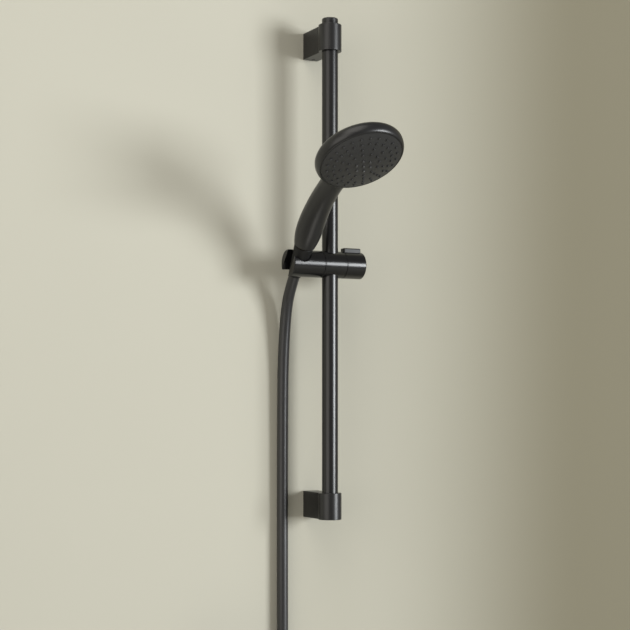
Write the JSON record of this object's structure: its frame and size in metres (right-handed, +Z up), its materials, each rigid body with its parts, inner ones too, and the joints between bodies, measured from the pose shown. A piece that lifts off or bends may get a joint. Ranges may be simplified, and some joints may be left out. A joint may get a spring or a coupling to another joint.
{
  "type": "hand shower set with slide rail",
  "caption": "Round hand shower with a domed nozzle face, resting in the tilting cradle of a braked slider on a round wall rail with end brackets and a smooth hose.",
  "frame": {"origin": "on the wall, midway between the two wall screws that hold the rail's brackets", "axes": "+Z up along the rail, +Y into the wall, +X to the right when facing the wall"},
  "size_m": [0.2378, 0.2532, 0.9555],
  "materials": {
    "black_coat": "satin",
    "black_shell": "satin",
    "face_plastic": "matt",
    "jet_plastic": "gloss",
    "inner_plastic": "moulded",
    "rubber": "matt",
    "hose_plastic": "smooth",
    "steel": "plain",
    "brass": "turned"
  },
  "bodies": {
    "rail": {"rail_tube": "black_coat", "rail_top_plug": "black_shell", "upper_bracket": "black_shell", "lower_bracket": "black_shell", "upper_wall_base": "inner_plastic", "lower_wall_base": "inner_plastic", "upper_grub_screw": "steel", "lower_grub_screw": "steel"},
    "glide": {"glide_bush": "inner_plastic"},
    "slider": {"slider_body": "black_shell", "slider_end": "black_shell", "brake_spring": "steel", "cradle_screw": "steel", "friction_ring": "inner_plastic", "hose": "hose_plastic", "hose_coil": "hose_plastic", "hose_tie": "hose_plastic", "hose_ferrule": "black_coat"},
    "key": {"release_key": "black_shell"},
    "brake": {"brake_shoe": "inner_plastic", "brake_pad": "rubber"},
    "cradle": {"cradle": "black_shell", "hose_cone_nut": "black_shell", "hose_insert": "brass", "inlet_washer": "rubber", "thread_spigot": "brass", "flow_limiter": "inner_plastic", "handle_shell": "black_shell", "water_tube": "inner_plastic", "chamber_disc": "inner_plastic", "chamber_seal": "rubber"},
    "spray_face": {"spray_plate": "face_plastic", "nozzle_mat": "rubber", "jet_insert": "jet_plastic", "face_clip": "steel"},
    "supply_nut": {"supply_nut": "black_coat", "supply_washer": "rubber"}
  },
  "joints": [
    {"name": "rail_slide", "type": "slide", "parent": "rail", "child": "glide", "axis": [0, 0, 1], "range_m": [-0.264, 0.24], "deforming": ["hose"]},
    {"name": "slider_swivel", "type": "hinge", "parent": "glide", "child": "slider", "pos_m": [0, -0.054, 0.0094], "axis": [0, 0, 1], "range_deg": [-30, 60], "deforming": ["hose"]},
    {"name": "key_press", "type": "slide", "parent": "slider", "child": "key", "axis": [0, 0, -1], "range_m": [0, 0.0012], "stiffness_N_per_m": 2500, "springref_m": -0.001, "deforming": ["brake_spring"]},
    {"name": "brake_release", "type": "slide", "parent": "slider", "child": "brake", "axis": [1, 0, 0], "range_m": [0, 0.0012], "deforming": ["brake_spring"]},
    {"name": "cradle_tilt", "type": "hinge", "parent": "slider", "child": "cradle", "pos_m": [-0.0435, -0.054, 0.0094], "axis": [1, 0, 0], "range_deg": [-30, 30], "deforming": ["hose"]},
    {"name": "face_turn", "type": "hinge", "parent": "cradle", "child": "spray_face", "pos_m": [-0.04048, -0.21054, 0.11296], "axis": [0.0473, -0.5171, -0.8546], "range_deg": [0, 60]},
    {"name": "supply_nut_turn", "type": "hinge", "parent": "slider", "child": "supply_nut", "pos_m": [-0.0435, -0.0383, -0.63], "axis": [0, 0, 1], "continuous": true}
  ],
  "couplings": [
    {"joint": "brake_release", "follows": "key_press", "ratio": 1}
  ]
}
